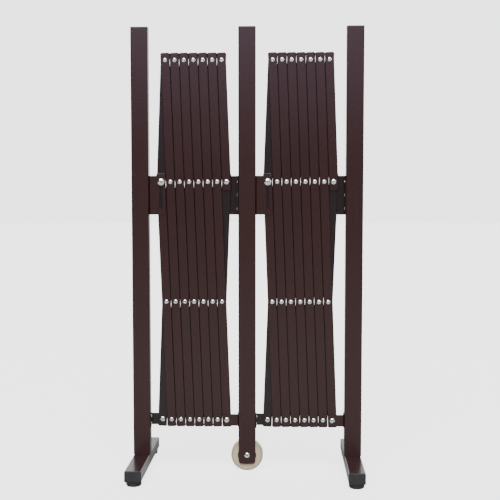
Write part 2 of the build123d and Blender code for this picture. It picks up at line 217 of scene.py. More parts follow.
class Shader:
    """A node tree with one method that adds any node to it."""

    def __init__(self, tree):
        self.tree = tree

    def node(self, kind, settings, values, output=0):
        """Adds a node: its settings are made first, then its sockets get values or links."""
        made = self.tree.nodes.new(kind)
        for name, setting in settings.items():
            setattr(made, name, setting)
        for name, value in values.items():
            self.give(made.inputs[name], value)
        return Socket(self, made.outputs[output])

    def give(self, socket, value):
        if isinstance(value, Socket):
            self.tree.links.new(value.link, socket)
        else:
            socket.default_value = value

    def place(self, centre=(0, 0, 0), turn=(0, 0, 0), scale=(1, 1, 1)):
        """Object coordinates about a centre."""
        coordinates = self.node("ShaderNodeTexCoord", {}, {}, "Object")
        settings = {"vector_type": "TEXTURE"}
        values = {"Vector": coordinates, "Location": centre, "Rotation": turn, "Scale": scale}
        return self.node("ShaderNodeMapping", settings, values)

    def noise(self, place, scale, detail=2.0, roughness=0.5):
        values = {"Vector": place, "Scale": scale, "Detail": detail, "Roughness": roughness}
        return self.node("ShaderNodeTexNoise", {}, values, "Fac")

    def between(self, value, low, high):
        """0 below low, 1 above high and a smooth step in between."""
        settings = {"interpolation_type": "SMOOTHSTEP"}
        return self.node("ShaderNodeMapRange", settings, {"Value": value, "From Min": low, "From Max": high})

    def mix(self, factor, first, second):
        settings = {"data_type": "RGBA"}
        return self.node("ShaderNodeMix", settings, {0: factor, 6: first, 7: second}, 2)

    def marked(self, name):
        """How strongly the piece's own attribute marks a place."""
        return self.node("ShaderNodeAttribute", {"attribute_name": name}, {}, "Fac")

    def bump(self, height, distance, strength=1.0):
        return self.node("ShaderNodeBump", {}, {"Height": height, "Distance": distance, "Strength": strength})


class Finish(Shader):
    """A material: constants go straight to its surface's sockets, and paint adds what varies."""

    def __init__(self, name, **constants):
        self.material = bpy.data.materials.new(name)
        self.material.use_nodes = True
        super().__init__(self.material.node_tree)
        self.surface = self.tree.nodes["Principled BSDF"]
        self.paint(**constants)

    def paint(self, **values):
        for name, value in values.items():
            self.give(self.surface.inputs[name.replace("_", " ").title().replace("Ior", "IOR")], value)


def rgb(red, green, blue):
    return (red, green, blue, 1.0)


def under_slot_shade(finish, place):
    """The faces of the slats that lie under a slot in front of them, which get painted shade as if the
    bracket shadowed them.
    """
    x, y, z = (finish.node("ShaderNodeSeparateXYZ", {}, {0: place}, axis) for axis in "XYZ")
    marks = 0.0
    for panel in PANELS:
        off = x.math("ABSOLUTE", x - panel.first_x)
        marks = marks + (1 - finish.between(off, SLOT_W * 0.42, SLOT_W * 0.52))
    bottom, top = LEG_SLOT
    upright = finish.between(z, bottom, bottom + SLOT_OVER) * (1 - finish.between(z, top - SLOT_OVER, top))
    return marks * upright * (1 - finish.between(y, SLAT_NEAR / 2, SLAT_NEAR / 2 + SLOT_OVER))


def powder_coat():
    """Semi-gloss dark brown powder coat: fine orange peel, cloudy tone, and painted shade on the rounded
    edges.

    Painted shade also darkens what stands behind the front slats, and a slat's face where it lies under a
    slot."""
    finish = Finish("brown_powder_coat", IOR=1.5)
    place = finish.place()
    clouds = finish.noise(place, 6.0, 2.0)
    speckle = finish.noise(place, 1400.0, 1.0)
    peel = finish.noise(place, 520.0, 1.0)
    # The edge mask: where painted shade darkens the rounded edges.
    edge = finish.marked("edge") * (0.75 + 0.25 * finish.noise(place, 160.0, 3.0))
    brown = finish.mix(clouds, rgb(0.0222, 0.0060, 0.0042), rgb(0.0258, 0.0072, 0.0052))
    brown = finish.mix(finish.between(speckle, 0.60, 0.85) * 0.20, brown, rgb(0.042, 0.015, 0.012))
    # Painted shade: pieces behind the front slats are darkened as if in the front layer's shadow.
    brown = finish.mix(finish.marked("rear") * 0.85, brown, rgb(0.0080, 0.0044, 0.0033))
    # Painted shade: a slat's face under a slot is darkened as if shadowed by the bracket.
    brown = finish.mix(under_slot_shade(finish, place) * 0.9, brown, rgb(0.0045, 0.0030, 0.0022))
    # Painted shade: the rounded edges are darkened, standing in for the dark lines of shadow between slats
    # and round brackets.
    brown = finish.mix(edge, brown, rgb(0.0030, 0.0012, 0.0011))
    height = peel * 0.8 + speckle * 0.2
    finish.paint(
        base_color=brown,
        roughness=0.20 + 0.04 * clouds + 0.03 * peel,
        normal=finish.bump(height, 0.00002, 0.25),
    )
    return finish.material


def bright_steel():
    """Zinc-plated steel: bright, with a faint straw tint, fine scratches, and painted shade darkening its
    recesses.
    """
    finish = Finish("bright_zinc_steel", metallic=1.0)
    place = finish.place()
    tint = finish.between(finish.noise(place, 240.0, 2.0), 0.35, 0.7)
    scratches = finish.noise(finish.place(scale=(0.08, 1.0, 1.0)), 2600.0, 2.0)
    recess = finish.marked("recess")
    silver = finish.mix(tint, rgb(0.92, 0.91, 0.89), rgb(0.86, 0.85, 0.82))
    # Painted shade: the recesses of heads and dimples are darkened nearly to black, as if in shadow.
    silver = finish.mix(recess * 0.92, silver, rgb(0.035, 0.032, 0.030))
    finish.paint(
        base_color=silver,
        roughness=0.16 + 0.06 * tint + 0.05 * scratches + 0.35 * recess,
        normal=finish.bump(scratches, 0.00001, 0.25),
    )
    return finish.material


def black_plastic():
    """Satin moulded plastic with a fine spark-eroded grain and a little dust in it."""
    finish = Finish("black_moulded_plastic", IOR=1.49)
    place = finish.place()
    grain = finish.noise(place, 1900.0, 2.0, 0.6)
    dust = finish.between(finish.noise(place, 60.0, 4.0), 0.5, 0.8)
    black = finish.mix(dust * 0.5, rgb(0.018, 0.0168, 0.0165), rgb(0.034, 0.032, 0.031))
    finish.paint(
        base_color=black,
        roughness=0.42 + 0.12 * dust + 0.08 * grain,
        normal=finish.bump(grain, 0.00006, 0.5),
    )
    return finish.material


def milky_nylon(centre, radius):
    """Natural nylon: creamy towards the hub, greyer on the tread band, scuffed where it rolls."""
    finish = Finish("milky_nylon", IOR=1.53, subsurface_weight=0.15, subsurface_scale=0.004)
    place = finish.place(centre)
    flat = finish.node("ShaderNodeVectorMath", {"operation": "MULTIPLY"}, {0: place, 1: (1, 0, 1)})
    reach = finish.node("ShaderNodeVectorMath", {"operation": "LENGTH"}, {0: flat}, "Value") / radius
    cloud = finish.noise(place, 70.0, 3.0)
    band = finish.between(reach + 0.02 * cloud, 0.84, 0.90)
    tread = finish.between(reach, 0.97, 0.995)
    cream = finish.mix(cloud, rgb(0.52, 0.445, 0.275), rgb(0.57, 0.490, 0.310))
    cream = finish.mix(band * 0.8, cream, rgb(0.36, 0.350, 0.240))
    scuffs = finish.between(finish.noise(place, 900.0, 4.0, 0.7), 0.5, 0.75) * tread
    cream = finish.mix(scuffs * 0.5, cream, rgb(0.30, 0.28, 0.23))
    finish.paint(
        base_color=cream,
        roughness=0.36 + 0.10 * cloud + 0.2 * scuffs,
        normal=finish.bump(scuffs + 0.3 * cloud, 0.00005, 0.5),
    )
    return finish.material


WHEEL_LOW, WHEEL_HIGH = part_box("wheel")
AXLE = (WHEEL_LOW + WHEEL_HIGH) / 2
WHEEL_R = (WHEEL_HIGH.z - WHEEL_LOW.z) / 2
FINISHES = {
    "powder_coat": powder_coat(),
    "bright_steel": bright_steel(),
    "black_plastic": black_plastic(),
    "nylon": milky_nylon(AXLE, WHEEL_R),
}


# ---- Mesh work ----------------------------------------------------------------------------------


def arc(centre, radius, start, end, steps):
    """Points of an arc, its angles in degrees."""
    turns = [math.radians(start + (end - start) * step / steps) for step in range(steps + 1)]
    return [(centre[0] + radius * math.cos(t), centre[1] + radius * math.sin(t)) for t in turns]


def dome(radius, base, height):
    """Points of a shallow dome's half profile, from its rim at base up to its crown on the axis."""
    rise = height - HEAD_EDGE
    ball = (radius**2 + rise**2) / (2 * rise)
    rim = math.degrees(math.asin(radius / ball))
    middle = base + height - ball
    return [(radius, base)] + arc((0, middle), ball, 90 - rim, 90, 7)


def loop(bm, points):
    """A closed loop of edges through points given in the XY plane."""
    verts = [bm.verts.new((x, y, 0)) for x, y in points]
    return [bm.edges.new(pair) for pair in zip(verts, verts[1:] + verts[:1])]


def outline(bm, points, corners, steps=5):
    """A flat outline in the XY plane, its corners rounded by the radius given for each."""
    before = set(bm.edges)
    verts = [bm.verts.new((x, y, 0)) for x, y in points]
    face = bm.faces.new(verts)
    for vert, radius in zip(verts, corners):
        if radius:
            bmesh.ops.bevel(
                bm,
                geom=[vert],
                offset=radius,
                segments=steps,
                profile=0.5,
                affect="VERTICES",
                material=-1,
            )
    new = [face for face in bm.faces if not set(face.edges) & before]
    bmesh.ops.delete(bm, geom=new, context="FACES_ONLY")
    return [edge for edge in bm.edges if edge not in before]


def rectangle(width, height):
    x, y = width / 2, height / 2
    return [(-x, -y), (x, -y), (x, y), (-x, y)]


def hole(bm, x, y, radius, stretch=0.0):
    """A round hole's edge, or a slot's if it is stretched along Y."""
    turn = Matrix.Translation((x, y, 0)) @ Matrix.Rotation(math.pi / HOLE_STEPS, 4, "Z")
    made = bmesh.ops.create_circle(bm, cap_ends=False, radius=radius, segments=HOLE_STEPS, matrix=turn)
    for vert in made["verts"]:
        vert.co.y += math.copysign(stretch / 2, vert.co.y - y)


def soften(bm, size, steps=2, sharper=50, within=None):
    """Rounds the sharp edges, and marks as edge what lies wholly inside the rounding, where the powder coat
    paints shade.
    """
    layer = bm.verts.layers.float.get("edge") or bm.verts.layers.float.new("edge")
    sharp = [
        edge
        for edge in bm.edges
        if edge.is_manifold
        and math.degrees(edge.calc_face_angle()) > sharper
        and (within is None or all(within(vert.co) for vert in edge.verts))
    ]
    made = bmesh.ops.bevel(
        bm,
        geom=sharp,
        offset=size,
        segments=steps,
        profile=0.5,
        affect="EDGES",
        clamp_overlap=True,
        material=-1,
    )
    rounded = set(made["faces"])
    for vert in made["verts"]:
        vert[layer] = float(rounded.issuperset(vert.link_faces))


def thicken(bm, height):
    """Fills the flat loops and makes a closed plate of that height."""
    bmesh.ops.triangle_fill(bm, edges=bm.edges[:], use_beauty=True)
    raised = bmesh.ops.extrude_face_region(bm, geom=bm.faces[:])
    verts = [item for item in raised["geom"] if isinstance(item, bmesh.types.BMVert)]
    bmesh.ops.translate(bm, vec=(0, 0, height), verts=verts)
    bmesh.ops.recalc_face_normals(bm, faces=bm.faces[:])


def turned(points, steps=ROUND_STEPS, closed=False):
    """A piece turned about Z from (radius, z) points."""
    bm = bmesh.new()
    verts = [bm.verts.new((radius, 0, z)) for radius, z in points]
    ends = verts[1:] + verts[:1] if closed else verts[1:]
    edges = [bm.edges.new(pair) for pair in zip(verts, ends)]
    bmesh.ops.spin(
        bm,
        geom=verts + edges,
        cent=(0, 0, 0),
        axis=(0, 0, 1),
        angle=math.tau,
        steps=steps,
        use_merge=True,
    )
    bmesh.ops.remove_doubles(bm, verts=bm.verts[:], dist=MERGE)
    bmesh.ops.recalc_face_normals(bm, faces=bm.faces[:])
    return bm


def moved(bm, matrix):
    bmesh.ops.transform(bm, matrix=matrix, verts=bm.verts[:])
    if matrix.determinant() < 0:
        bmesh.ops.reverse_faces(bm, faces=bm.faces[:])
    return bm


def pointing(direction, at):
    """A place whose Z axis points along direction."""
    turn = Vector((0, 0, 1)).rotation_difference(Vector(direction)).to_matrix().to_4x4()
    return Matrix.Translation(at) @ turn


def stamped(bm, places):
    """One mesh that repeats bm at each place."""
    stamp = bpy.data.meshes.new("stamp")
    bm.to_mesh(stamp)
    bm.free()
    whole = bmesh.new()
    for place in places:
        first = len(whole.verts)
        whole.from_mesh(stamp)
        whole.verts.ensure_lookup_table()
        bmesh.ops.transform(whole, matrix=place, verts=whole.verts[first:])
    bpy.data.meshes.remove(stamp)
    return whole


def joined(*parts):
    """One mesh of several."""
    whole = bmesh.new()
    for part in parts:
        mesh = bpy.data.meshes.new("part")
        part.to_mesh(mesh)
        part.free()
        whole.from_mesh(mesh)
        bpy.data.meshes.remove(mesh)
    return whole


def mark_all(bm, name):
    """Marks the whole piece, for the painted shade in its finish."""
    layer = bm.verts.layers.float.new(name)
    for vert in bm.verts:
        vert[layer] = 1.0


def added(name, data):
    """A new object in the scene."""
    made = bpy.data.objects.new(name, data)
    bpy.context.scene.collection.objects.link(made)
    return made


def piece(name, bm, slot, body, *nodes):
    """Makes the object, gives it its finish and lets it ride on its body."""
    mesh = bpy.data.meshes.new(name)
    bm.to_mesh(mesh)
    bm.free()
    mesh.shade_smooth()
    mesh.materials.append(FINISHES[slot])
    made = added(name, mesh)
    shading = made.modifiers.new("even_shading", "WEIGHTED_NORMAL")
    shading.keep_sharp = True
    shading.weight = 100
    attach(made, body)
    if nodes:
        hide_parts(*nodes)
    return made


# ---- Pins and screws ----------------------------------------------------------------------------

FRONT = (0, -1, 0)


def mark_recess(bm, radius, below):
    """Marks a recess's walls and floor, for the painted shade that the steel's finish puts there."""
    layer = bm.verts.layers.float.get("recess") or bm.verts.layers.float.new("recess")
    for vert in bm.verts:
        if below - RECESS_DEEPEST < vert.co.z < below and math.hypot(vert.co.x, vert.co.y) < radius:
            vert[layer] = 1.0


def recessed_head(head, socket, shape, shank):
    """A domed head up from z = 0 with a driven recess of that shape, and its shank below."""
    radius, height = head
    reach, depth = socket
    opening = reach * RECESS_MOUTH
    crown = [point for point in dome(radius, 0, height) if point[0] > opening]
    top = crown[-1][1] + HEAD_RIM
    bm = turned(shank + crown + [(opening, top)])
    ring = [edge for edge in bm.edges if edge.is_boundary and edge.verts[0].co.z > 0]
    socket_edges = loop(bm, shape)
    mouth = list({vert for edge in socket_edges for vert in edge.verts})
    bmesh.ops.translate(bm, vec=(0, 0, top), verts=mouth)
    bmesh.ops.triangle_fill(bm, edges=ring + socket_edges, use_beauty=True)
    walls = bmesh.ops.extrude_edge_only(bm, edges=socket_edges)
    low = [item for item in walls["geom"] if isinstance(item, bmesh.types.BMVert)]
    bmesh.ops.translate(bm, vec=(0, 0, -depth), verts=low)
    bmesh.ops.scale(bm, vec=(0.8, 0.8, 1), verts=low)
    floor = [edge for edge in walls["geom"] if isinstance(edge, bmesh.types.BMEdge)]
    bmesh.ops.edgeloop_fill(bm, edges=[edge for edge in floor if edge.is_boundary])
    bmesh.ops.recalc_face_normals(bm, faces=bm.faces[:])
    mark_recess(bm, opening, top - depth / 2)
    return bm


def hexagon(radius):
    return [(radius * math.cos(k * math.pi / 3), radius * math.sin(k * math.pi / 3)) for k in range(6)]


def cross(reach, half):
    """The outline of a cross recess: four arms of that reach and half width."""
    points = []
    for quarter in range(4):
        turn = Matrix.Rotation(quarter * math.pi / 2, 2)
        points += [tuple(turn @ Vector(corner)) for corner in ((reach, -half), (reach, half), (half, half))]
    return points


def pin_tail(radius, length, tail):
    """The profile of a pin's tail and shank, from the tail's crown up to the head's underside."""
    tail_r, tail_h = tail
    crown = [(r, -length - z) for r, z in dome(tail_r, 0, tail_h)]
    return crown[::-1] + [(radius, -length), (radius, 0)]


def rivet(length):
    """A clinched rivet with a small dimple in its head."""
    dimple_r, dimple = RIVET_DIMPLE
    crown = [point for point in dome(RIVET_HEAD[0], 0, RIVET_HEAD[1]) if point[0] > dimple_r * 1.2]
    rim = crown[-1][1]
    inside = [(dimple_r, rim - 0.0001), (dimple_r * 0.85, rim - dimple * 0.8), (0, rim - dimple)]
    bm = turned(pin_tail(RIVET_R, length, RIVET_TAIL) + crown + inside, 28)
    mark_recess(bm, dimple_r * 0.95, rim - dimple * 0.5)
    return bm


def pivot(length, head=PIVOT_HEAD, shape=None):
    """A shoulder pivot with a driven head."""
    reach = PIVOT_SOCKET[0] * head[0] / PIVOT_HEAD[0]
    shape = shape or hexagon(reach)
    return recessed_head(head, (reach, PIVOT_SOCKET[1]), shape, pin_tail(PIVOT_R, length, PIVOT_HEAD))


def flange_screw():
    """A pan-head screw with a cross recess and a rounded tip."""
    shank = [(0, -SCREW_LENGTH), (SCREW_R * 0.7, -SCREW_LENGTH), (SCREW_R, -SCREW_LENGTH + SCREW_TIP)]
    shape = cross(SCREW_SOCKET[0], SCREW_CROSS_HALF)
    return recessed_head(SCREW_HEAD, SCREW_SOCKET, shape, shank + [(SCREW_R, 0)])


# ---- Slat panels --------------------------------------------------------------------------------


def cut_across(bm, height):
    """Adds edges where a level plane meets the piece."""
    parts = bm.verts[:] + bm.edges[:] + bm.faces[:]
    bmesh.ops.bisect_plane(bm, geom=parts, dist=MERGE, plane_co=(0, 0, height), plane_no=(0, 0, 1))


def roll_edges(bm, length, middle):
    """Swells a strip's sides and ends out to round edges, as rolling leaves them, and marks them for the
    painted shade that the powder coat puts on its edges.
    """
    thick = SLAT_FAR - SLAT_NEAR
    for cut in range(1, 5):
        rise = SLAT_EDGE * (1 - math.cos(cut * math.pi / 8))
        cut_across(bm, rise)
        cut_across(bm, thick - rise)
    layer = bm.verts.layers.float.new("edge")
    for vert in bm.verts:
        x, y, z = vert.co
        if abs(x) < SLAT_W / 4:
            continue
        corner_x = math.copysign(SLAT_W / 2 - SLAT_CORNER, x)
        corner_y = middle + math.copysign(length / 2 - SLAT_CORNER, y - middle)
        out = Vector((x - corner_x, y - corner_y, 0)).normalized()
        under = max(0.0, SLAT_EDGE - min(z, thick - z))
        vert.co += out * math.sqrt(max(0.0, SLAT_EDGE**2 - under**2))
        vert[layer] = float(under < SLAT_EDGE - MERGE)


def slat(panel, number, lean):
    rows = panel.rows(number, lean)
    low, high = (panel.crossing(number, rows[end], lean) for end in (0, -1))
    low_tail = SLIDE_TAIL if rows[0] == SLIDE_ROW else TAIL
    high_tail = SLIDE_TAIL if rows[-1] == SLIDE_ROW else TAIL
    span = (high - low).length
    length = span + low_tail + high_tail
    middle = (span + high_tail - low_tail) / 2
    bm = bmesh.new()
    blank = rectangle(SLAT_W - 2 * SLAT_EDGE, length - 2 * SLAT_EDGE)
    outline(bm, [(x, y + middle) for x, y in blank], [SLAT_CORNER - SLAT_EDGE] * 4)
    for step, row in enumerate(rows):
        radius = PIVOT_R if panel.at_post(number, row, lean) else RIVET_R
        hole(bm, 0, step * span / (len(rows) - 1), radius + PIN_GAP)
    thicken(bm, SLAT_FAR - SLAT_NEAR)
    roll_edges(bm, length, middle)
    # Marks a rear slat for the painted shade in its finish.
    if lean == "rear":
        mark_all(bm, "rear")
    front = SLAT_FAR if lean == "rear" else -SLAT_NEAR
    up = (high - low).normalized()
    across = Vector((0, 1, 0)).cross(up)
    turn = Matrix((across, up, (0, -1, 0))).transposed().to_4x4()
    moved(bm, Matrix.Translation((low.x, front, low.z)) @ turn)
    name = f"{panel.name}_{lean}_slat_{number}"
    piece(f"{name}_strip", bm, "powder_coat", name, name)


def pins(panel, number):
    """The rivets and the sliding pivot that a front slat carries."""
    name = f"{panel.name}_front_slat_{number}"
    rows = panel.rows(number, "front")
    places = [row for row in rows if not panel.at_post(number, row, "front")]
    crossings = [panel.crossing(number, row, "front") for row in places]
    face = SLAT_FAR + PIN_GAP
    heads = [pointing(FRONT, point - Vector((0, face, 0))) for point in crossings]
    piece(f"{name}_rivets", stamped(rivet(2 * face), heads), "bright_steel", name)
    if SLIDE_ROW in rows and panel.at_post(number, SLIDE_ROW, "front"):
        point = panel.crossing(number, SLIDE_ROW, "front")
        if number == 1:
            outer = LEG_FAR + PIN_GAP
            bm = pivot(outer + face, SLIDE_HEAD, cross(*SLIDE_CROSS))
        else:
            outer = face
            bm = pivot(LEG_FAR + PIN_GAP + face)
        moved(bm, pointing(FRONT, point - Vector((0, outer, 0))))
        piece(f"{name}_sliding_pivot", bm, "bright_steel", name)


for panel in PANELS:
    for number in range(1, CELLS + 2):
        slat(panel, number, "front")
        slat(panel, number, "rear")
        pins(panel, number)


# ---- Brackets -----------------------------------------------------------------------------------


def bent(bm, start):
    """Bends a flat bracket blank by a quarter turn, away from its inside face, from x = start on."""
    sweep = BRACKET_BEND * math.pi / 2
    for cut in range(7):
        where = (start + sweep * cut / 6, 0, 0)
        parts = bm.verts[:] + bm.edges[:] + bm.faces[:]
        bmesh.ops.bisect_plane(bm, geom=parts, dist=MERGE, plane_co=where, plane_no=(1, 0, 0))
    for vert in bm.verts:
        along, height, depth = vert.co
        turn = max(0.0, min(1.0, (along - start) / sweep)) * math.pi / 2
        reach = BRACKET_BEND + depth
        x = BRACKET_T + BRACKET_BEND - reach * math.cos(turn)
        y = start + reach * math.sin(turn)
        x += max(0.0, along - start - sweep)
        y += min(0.0, along - start)
        vert.co = (x, y, height)
    return sweep


def seat(node, side, fit):
    """Where a bracket meets its post's side, and how far its plate reaches away from its leg."""
    low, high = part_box(node)
    return (low.x if side > 0 else high.x), (-low.y if fit > 0 else high.y)


def bracket(place, kind, post_node, side, panel_pivot_x, fit):
    """A bent bracket on a post's side. Its leg is in front of the slats if fit is -1, else behind."""
    node = f"{place}_{kind}_bracket"
    low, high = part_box(node)
    face, edge = seat(node, side, fit)
    reach = high.x - low.x
    flat = edge + LEG_NEAR - BRACKET_BEND
    sweep = BRACKET_BEND * math.pi / 2
    leg = reach - BRACKET_T - BRACKET_BEND
    height = high.z - low.z
    middle = (high.z + low.z) / 2
    pivot_at = flat + sweep + abs(panel_pivot_x - face) - BRACKET_T - BRACKET_BEND
    end = flat + sweep + leg
    bm = bmesh.new()
    tops = [(0, height / 2), (0, -height / 2)]
    if kind == "slide":
        outline(bm, tops + [(end, -height / 2), (end, height / 2)], [0, 0, SLIDE_CORNER, 0], 8)
        reach_z = (LEG_SLOT[0] + LEG_SLOT[1]) / 2
        hole(bm, pivot_at, reach_z - middle, SLOT_W / 2, LEG_SLOT[1] - LEG_SLOT[0] - SLOT_W)
    else:
        half = LEG_H / 2
        foot = [(flat, -height / 2), (flat, -half), (end, -half)]
        head = [(end, half), (flat, half), (flat, height / 2)]
        round_by = [0, 0, LEG_NOTCH, 0, LEG_CORNER, LEG_CORNER, 0, LEG_NOTCH]
        outline(bm, tops + foot + head, round_by)
        hole(bm, pivot_at, 0, PIVOT_R + PIN_GAP)
    screw_y = (edge - LEG_NEAR) / 2
    for z in SCREW_HEIGHTS[kind]:
        hole(bm, edge - screw_y, z - middle, SCREW_R + PIN_GAP)
    thicken(bm, BRACKET_T)
    soften(bm, BRACKET_EDGE, 2)
    bent(bm, flat)
    shift = Matrix.Translation((face, 0, middle))
    flip = Matrix.Diagonal((side, fit, 1, 1))
    start = Matrix.Translation((0, -edge, 0))
    moved(bm, shift @ flip @ start)
    bmesh.ops.recalc_face_normals(bm, faces=bm.faces[:])
    # Marks a bracket behind the slats for the painted shade in its finish.
    if fit > 0:
        mark_all(bm, "rear")
    piece(f"{node}_plate", bm, "powder_coat", post_node, node)


def screw_heights(node, step, count):
    low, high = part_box(node)
    middle = (low.z + high.z) / 2
    return [middle + (k - (count - 1) / 2) * step for k in range(count)]


SCREW_HEIGHTS = {
    "slide": screw_heights("left_slide_bracket", *SLIDE_SCREWS),
    "pivot": screw_heights("left_pivot_bracket", *LEG_SCREWS),
}
SIDES = [
    ("left", "left_post", 1, PANELS[0]),
    ("middle_left", "middle_post", -1, PANELS[0]),
    ("middle_right", "middle_post", 1, PANELS[1]),
    ("right", "right_post", -1, PANELS[1]),
]


def fasteners(post):
    """A post's bracket screws, and the pivots of the lowest slats beside it."""
    screws, pivots = [], []
    for place, owner, side, panel in SIDES:
        if owner != post:
            continue
        for kind, fit in (("slide", -side), ("pivot", side)):
            face, edge = seat(f"{place}_{kind}_bracket", side, fit)
            screw_y = -fit * (edge - LEG_NEAR) / 2
            x = face + side * (BRACKET_T + PIN_GAP)
            screws += [pointing((side, 0, 0), (x, screw_y, z)) for z in SCREW_HEIGHTS[kind]]
        front = SLAT_NEAR - PIN_GAP if side > 0 else -LEG_FAR - PIN_GAP
        pivots.append(pointing(FRONT, (panel.beside_post(side), front, ROW_HEIGHTS[0])))
    length = LEG_FAR - SLAT_NEAR + 2 * PIN_GAP
    parts = joined(stamped(flange_screw(), screws), stamped(pivot(length), pivots))
    piece(f"{post}_screws_and_pivots", parts, "bright_steel", post, f"{post}_fasteners")


for place, post, side, panel in SIDES:
    bracket(place, "slide", post, side, panel.beside_post(side), -side)
    bracket(place, "pivot", post, side, panel.beside_post(side), side)
for post in ("left_post", "middle_post", "right_post"):
    fasteners(post)


# ---- Posts, caps and feet -----------------------------------------------------------------------


def skin(width, depth, length, corner=TUBE_CORNER):
    """The outer skin of a rectangular tube, open at both ends, up from z = 0."""
    bm = bmesh.new()
    bottom = outline(bm, rectangle(width, depth), [corner] * 4, 6)
    raised = bmesh.ops.extrude_edge_only(bm, edges=bottom)
    verts = [item for item in raised["geom"] if isinstance(item, bmesh.types.BMVert)]
    bmesh.ops.translate(bm, vec=(0, 0, length), verts=verts)
    bmesh.ops.recalc_face_normals(bm, faces=bm.faces[:])
    return bm


def walled(bm, wall=TUBE_WALL):
    """Gives a skin its wall, inwards, and softens its cut ends."""
    bmesh.ops.solidify(bm, geom=bm.faces[:], thickness=wall)
    bmesh.ops.recalc_face_normals(bm, faces=bm.faces[:])
    soften(bm, TUBE_END_EDGE, 2)
    return bm


def fork(bm, low, top, depth):
    """Cuts the post's sides away round the wheel and rounds the two tongues that are left."""
    cut_across(bm, top)
    flat = depth / 2 - TUBE_WALL
    beside = [
        face
        for face in bm.faces
        if face.calc_center_median().z < top and abs(face.calc_center_median().y) < flat
    ]
    bmesh.ops.delete(bm, geom=beside, context="FACES")
    for cut in range(1, 9):
        cut_across(bm, low + TONGUE_CORNER * (1 - math.cos(cut * math.pi / 16)))
    half = max(vert.co.x for vert in bm.verts)
    for vert in bm.verts:
        under = low + TONGUE_CORNER - vert.co.z
        if under > 0:
            drawn_in = TONGUE_CORNER - math.sqrt(max(0.0, TONGUE_CORNER**2 - under**2))
            vert.co.x *= (half - drawn_in) / half


def post(name):
    low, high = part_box(name)
    width, depth = high.x - low.x, high.y - low.y
    bm = skin(width, depth, high.z - low.z)
    if name == "middle_post":
        rise = math.sqrt(WHEEL_R**2 - (width / 2 - TUBE_WALL) ** 2) + FORK_GAP
        fork(bm, 0, AXLE.z + rise - low.z, depth)
    walled(bm)
    moved(bm, Matrix.Translation(((low.x + high.x) / 2, (low.y + high.y) / 2, low.z)))
    piece(f"{name}_tube", bm, "powder_coat", name, name)


def cap(width, depth, plug):
    """A moulded end cap: a flange up from z = 0 with a rounded top edge, and a plug below."""
    bm = bmesh.new()
    outline(bm, rectangle(width, depth), [TUBE_CORNER] * 4, 6)
    thicken(bm, CAP_T)
    top = [face for face in bm.faces if face.normal.z > 0.9]
    bmesh.ops.dissolve_faces(bm, faces=top)
    soften(bm, CAP_T / 3, 4, within=lambda place: place.z > CAP_T / 2)
    soften(bm, CAP_EDGE, 2)
    inset = 2 * (TUBE_WALL + PLUG_GAP)
    inner = skin(width - inset, depth - inset, plug, PLUG_CORNER)
    walled(inner, CAP_PLUG_WALL)
    moved(inner, Matrix.Translation((0, 0, -plug)))
    return joined(bm, inner)


def post_cap(post):
    low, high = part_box(f"{post}_cap")
    plug = high.z - low.z - CAP_T
    bm = cap(high.x - low.x, high.y - low.y, plug)
    moved(bm, Matrix.Translation(((low.x + high.x) / 2, (low.y + high.y) / 2, high.z - CAP_T)))
    piece(f"{post}_top_cap", bm, "black_plastic", post, f"{post}_cap")


def foot(side):
    body = f"{side}_post"
    low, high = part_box(f"{side}_foot_bar")
    middle = (low + high) / 2
    width, length, height = high - low
    bm = walled(skin(width, height, length))
    moved(bm, pointing((0, 1, 0), (middle.x, low.y, middle.z)))
    piece(f"{side}_foot_tube", bm, "powder_coat", body, f"{side}_foot_bar")

    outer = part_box(f"{side}_foot_caps")
    caps = []
    for end in (-1, 1):
        face = pointing((0, end, 0), (middle.x, end * (outer[1].y - CAP_T), middle.z))
        caps.append(moved(cap(width, height, FOOT_PLUG), face))
    piece(f"{side}_foot_end_caps", joined(*caps), "black_plastic", body, f"{side}_foot_caps")

    glide_low, glide_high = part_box(f"{side}_foot_glides")
    radius = (glide_high.x - glide_low.x) / 2
    places = [Matrix.Translation((middle.x, y, 0)) for y in (glide_low.y + radius, glide_high.y - radius)]
    pads = stamped(glide(radius, low.z, glide_high.z), places)
    piece(f"{side}_foot_pads", pads, "black_plastic", body, f"{side}_foot_glides")


def glide(radius, height, top):
    """A round foot pad: a grooved sole, a bellied rim and a stem that goes into the foot."""
    sole = radius - GLIDE_BELLY
    floor_r, mouth_r = (sole * share for share in GROOVE_WIDTHS)
    points = [(0, GLIDE_GROOVE), (floor_r, GLIDE_GROOVE), (mouth_r, 0), (sole, 0)]
    points += arc((sole, GLIDE_BELLY), GLIDE_BELLY, -75, 0, 7)
    points += [(radius, height - GLIDE_RIM)]
    points += arc((radius - GLIDE_RIM, height - GLIDE_RIM), GLIDE_RIM, 20, 90, 3)
    points += [(GLIDE_STEM_R, height), (GLIDE_STEM_R, top - GLIDE_GROOVE)]
    points += [(GLIDE_STEM_R - GLIDE_GROOVE, top), (0, top)]
    return turned(points, 56)


for name in ("left_post", "middle_post", "right_post"):
    post(name)
    post_cap(name)
for side in ("left", "right"):
    foot(side)


# ---- Wheel --------------------------------------------------------------------------------------


